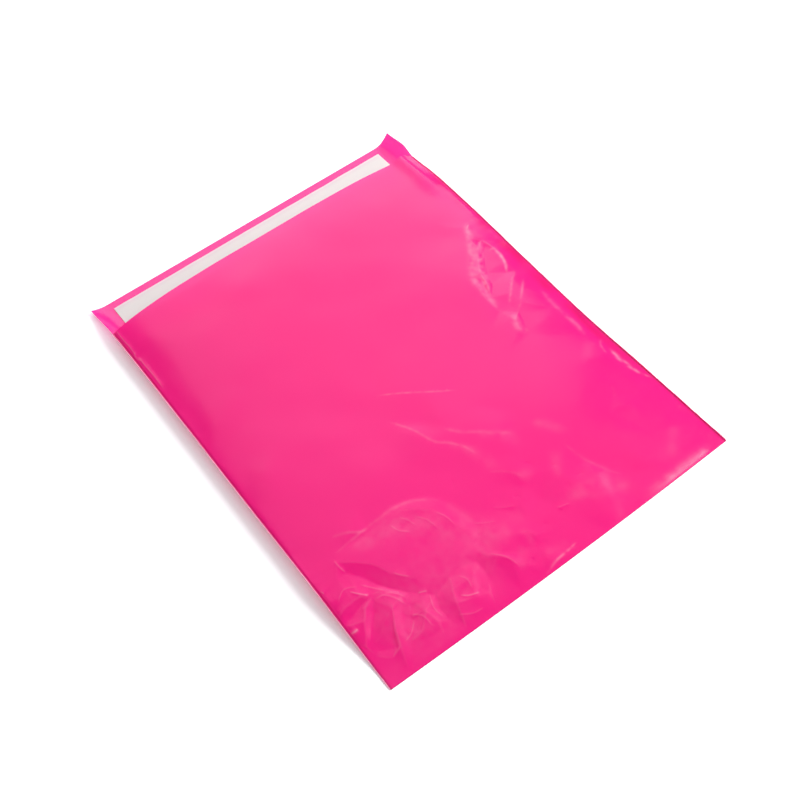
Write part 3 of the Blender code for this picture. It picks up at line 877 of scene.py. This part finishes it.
def film_material():
    """Hot pink blown film: soft gloss over a thin colour that light passes through."""
    hot_pink = (0.95, 0.010, 0.285, 1.0)
    # Pale pink of painted highlights and sheen
    highlight_pink = (1.0, 0.62, 0.80, 1.0)
    # Crimson of the welds, and of painted shade inside the right seam
    weld_and_shade_crimson = (0.50, 0.003, 0.13, 1.0)
    pink_through = (0.97, 0.020, 0.38, 1.0)
    pink_clear = (1.0, 0.20, 0.60, 1.0)
    share_through = 0.35
    share_clear = 0.10
    full_highlight = 0.45

    material, tree = new_material("hot_pink_film")
    link = tree.links.new
    place = node(tree, "ShaderNodeTexCoord")
    gloss = node(tree, "ShaderNodeBsdfPrincipled", IOR=1.51)
    through = node(tree, "ShaderNodeBsdfTranslucent", Color=pink_through)
    clear = node(tree, "ShaderNodeBsdfTransparent", Color=pink_clear)

    coarse = node(tree, "ShaderNodeTexNoise", Scale=60.0, Detail=4.0, Roughness=0.6)
    dull = node(tree, "ShaderNodeMapRange", From_Min=0.3, From_Max=0.7, To_Min=0.19, To_Max=0.262)
    link(place.outputs["Object"], coarse.inputs["Vector"])
    link(coarse.outputs["Fac"], dull.inputs["Value"])
    link(dull.outputs["Result"], gloss.inputs["Roughness"])

    fine = node(tree, "ShaderNodeTexNoise", Scale=320.0, Detail=2.0, Roughness=0.45)
    ripple = node(tree, "ShaderNodeBump", Strength=0.05, Distance=0.0001)
    link(place.outputs["Object"], fine.inputs["Vector"])
    link(fine.outputs["Fac"], ripple.inputs["Height"])
    link(ripple.outputs["Normal"], gloss.inputs["Normal"])

    # Painted highlights and sheen: the pink is mixed towards a pale pink
    white = node(tree, "ShaderNodeAttribute", attribute_name="crease_painted_highlight")
    pale = node(tree, "ShaderNodeMath", operation="MULTIPLY")
    pale.inputs[1].default_value = full_highlight
    pink = mix_colour(tree, hot_pink, highlight_pink)
    link(white.outputs["Fac"], pale.inputs[0])
    link(pale.outputs["Value"], pink.inputs[0])
    # Painted shade inside the right seam, with the welds' own deep colour: the pink is mixed towards
    # crimson
    weld_and_shade = node(tree, "ShaderNodeAttribute", attribute_name="weld_depth_and_painted_shade")
    deep = mix_colour(tree, pink.outputs[2], weld_and_shade_crimson)
    link(weld_and_shade.outputs["Fac"], deep.inputs[0])
    link(deep.outputs[2], gloss.inputs["Base Color"])

    body = node(tree, "ShaderNodeMixShader", Fac=share_through)
    link(gloss.outputs["BSDF"], body.inputs[1])
    link(through.outputs["BSDF"], body.inputs[2])
    film = node(tree, "ShaderNodeMixShader", Fac=share_clear)
    link(body.outputs["Shader"], film.inputs[1])
    link(clear.outputs["BSDF"], film.inputs[2])
    out = node(tree, "ShaderNodeOutputMaterial")
    link(film.outputs["Shader"], out.inputs["Surface"])
    return material


def liner_material():
    """Milky siliconised film."""
    milky = (0.80, 0.79, 0.78, 1.0)
    milky_through = (0.80, 0.78, 0.77, 1.0)
    share_through = 0.3

    material, tree = new_material("milky_liner_film")
    link = tree.links.new
    place = node(tree, "ShaderNodeTexCoord")
    haze = node(tree, "ShaderNodeTexNoise", Scale=140.0, Detail=4.0, Roughness=0.6)
    dull = node(tree, "ShaderNodeMapRange", To_Min=0.35, To_Max=0.55)
    gloss = node(tree, "ShaderNodeBsdfPrincipled", Base_Color=milky)
    link(place.outputs["Object"], haze.inputs["Vector"])
    link(haze.outputs["Fac"], dull.inputs["Value"])
    link(dull.outputs["Result"], gloss.inputs["Roughness"])
    through = node(tree, "ShaderNodeBsdfTranslucent", Color=milky_through)
    body = node(tree, "ShaderNodeMixShader", Fac=share_through)
    link(gloss.outputs["BSDF"], body.inputs[1])
    link(through.outputs["BSDF"], body.inputs[2])
    out = node(tree, "ShaderNodeOutputMaterial")
    link(body.outputs["Shader"], out.inputs["Surface"])
    return material


def glue_material():
    """Cream hot-melt glue with a tacky shine."""
    cream = (0.72, 0.64, 0.45, 1.0)

    material, tree = new_material("hot_melt_glue_bead")
    link = tree.links.new
    place = node(tree, "ShaderNodeTexCoord")
    streak = node(tree, "ShaderNodeTexNoise", Scale=220.0, Detail=3.0)
    ripple = node(tree, "ShaderNodeBump", Strength=0.5, Distance=0.0002)
    gloss = node(tree, "ShaderNodeBsdfPrincipled", Base_Color=cream, Roughness=0.25)
    link(place.outputs["Object"], streak.inputs["Vector"])
    link(streak.outputs["Fac"], ripple.inputs["Height"])
    link(ripple.outputs["Normal"], gloss.inputs["Normal"])
    out = node(tree, "ShaderNodeOutputMaterial")
    link(gloss.outputs["BSDF"], out.inputs["Surface"])
    return material


def table_material():
    """White table top, pure white to the camera where no shadow falls."""
    table_white = (0.92, 0.92, 0.92, 1.0)
    seen_lift = 0.22

    material, tree = new_material("white_table")
    link = tree.links.new
    paint = node(tree, "ShaderNodeBsdfDiffuse", Color=table_white)
    lift = node(tree, "ShaderNodeEmission", Strength=seen_lift)
    both = node(tree, "ShaderNodeAddShader")
    link(paint.outputs["BSDF"], both.inputs[0])
    link(lift.outputs["Emission"], both.inputs[1])
    ray = node(tree, "ShaderNodeLightPath")
    seen = node(tree, "ShaderNodeMath", operation="MAXIMUM")
    link(ray.outputs["Is Camera Ray"], seen.inputs[0])
    link(ray.outputs["Is Glossy Ray"], seen.inputs[1])
    any_seen = node(tree, "ShaderNodeMath", operation="MAXIMUM")
    link(seen.outputs["Value"], any_seen.inputs[0])
    link(ray.outputs["Is Transmission Ray"], any_seen.inputs[1])
    pick = node(tree, "ShaderNodeMixShader")
    link(any_seen.outputs["Value"], pick.inputs["Fac"])
    link(paint.outputs["BSDF"], pick.inputs[1])
    link(both.outputs["Shader"], pick.inputs[2])
    out = node(tree, "ShaderNodeOutputMaterial")
    link(pick.outputs["Shader"], out.inputs["Surface"])
    return material


def make_table():
    """A table top just under the bag, far wider than the picture."""
    table_side = 8.0
    table_drop = 0.0001
    bpy.ops.object.select_all(action="DESELECT")
    bpy.ops.mesh.primitive_plane_add(size=table_side, location=(0.0, 0.0, -table_drop))
    table = bpy.context.object
    table.name = "table_top"
    table.data.materials.append(table_material())


def light_world():
    """A pale studio: full light near the horizon, dimmer overhead."""
    studio_white = (0.90, 0.92, 1.0, 1.0)
    dimmer_from = 0.05
    dimmest_at = 0.20
    overhead = 0.28

    world = bpy.data.worlds.new("studio")
    bpy.context.scene.world = world
    world.use_nodes = True
    tree = world.node_tree
    tree.nodes.clear()
    link = tree.links.new
    sky = node(tree, "ShaderNodeBackground", Color=studio_white)
    place = node(tree, "ShaderNodeTexCoord")
    split = node(tree, "ShaderNodeSeparateXYZ")
    wall = node(tree, "ShaderNodeMapRange", interpolation_type="SMOOTHSTEP", From_Min=dimmer_from,
                From_Max=dimmest_at, To_Min=1.0, To_Max=overhead)
    out = node(tree, "ShaderNodeOutputWorld")
    link(place.outputs["Generated"], split.inputs["Vector"])
    link(split.outputs["Z"], wall.inputs["Value"])
    link(wall.outputs["Result"], sky.inputs["Strength"])
    link(sky.outputs["Background"], out.inputs["Surface"])


def light_lamps():
    """A key light on the right, and three soft strips behind that the film mirrors."""
    # Name, place, width, height and power
    lamps = [
        ("right_key", Vector((1.03, -0.42, 1.00)), 0.75, 0.75, 23.5),
        ("back_sheen", studio_direction(24, 36), 1.7, 0.56, 10.5),
        ("middle_sheen", studio_direction(24, 53), 1.5, 0.45, 3.4),
        ("top_sheen", studio_direction(20, 72), 1.5, 0.60, 2.4),
    ]
    for lamp in lamps:
        softbox(*lamp)


def studio_direction(azimuth, elevation, distance=1.6):
    """A place in the studio: degrees from +Y towards +X, and degrees up."""
    turn, rise = math.radians(azimuth), math.radians(elevation)
    level = math.cos(rise)
    return distance * Vector((math.sin(turn) * level, math.cos(turn) * level, math.sin(rise)))


def softbox(name, place, width, height, power):
    """A flat lamp that faces the bag."""
    data = bpy.data.lights.new(name, "AREA")
    data.shape = "RECTANGLE"
    data.size = width
    data.size_y = height
    data.energy = power
    lamp = bpy.data.objects.new(name, data)
    lamp.location = place
    lamp.rotation_euler = (-place).to_track_quat("-Z", "Y").to_euler()
    bpy.context.scene.collection.objects.link(lamp)


def set_camera():
    """The photograph's camera, worked out from the corners of the pocket in it."""
    focal_pixels = 1242.4
    frame_pixels = 800.0
    sensor_width = 36.0
    nearest_seen = 0.01
    azimuth, elevation, roll = math.radians(-29.96), math.radians(54.74), math.radians(-8.25)
    target = Vector((-0.0071, 0.1500 + bottom_y, 0.0))
    distance = 0.7795
    level = math.cos(elevation)
    back = Vector((math.sin(azimuth) * level, -math.cos(azimuth) * level, math.sin(elevation)))
    right = Vector((math.cos(azimuth), math.sin(azimuth), 0.0))
    up = back.cross(right)
    c, s = math.cos(roll), math.sin(roll)
    right, up = c * right + s * up, -s * right + c * up
    data = bpy.data.cameras.new("photo_camera")
    data.sensor_width = sensor_width
    data.lens = focal_pixels * sensor_width / frame_pixels
    data.clip_start = nearest_seen
    camera = bpy.data.objects.new("photo_camera", data)
    camera.matrix_world = Matrix((right, up, back)).transposed().to_4x4()
    camera.location = target + back * distance
    bpy.context.scene.collection.objects.link(camera)
    bpy.context.scene.camera = camera


set_camera()
light_world()
light_lamps()
make_table()

fold_map, bend_map = make_fold_map()
sharp_map = soften(abs(bend_map), sharp_spread)

film = make_film()
film.data.materials.append(film_material())
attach(film, "root")
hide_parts("bag_film")

liner = make_liner()
liner.data.materials.append(liner_material())
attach(liner, "root")
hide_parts("release_liner")

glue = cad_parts["adhesive_strip"]
glue.data.materials.clear()
glue.data.materials.append(glue_material())

bpy.context.scene.view_settings.view_transform = "Standard"
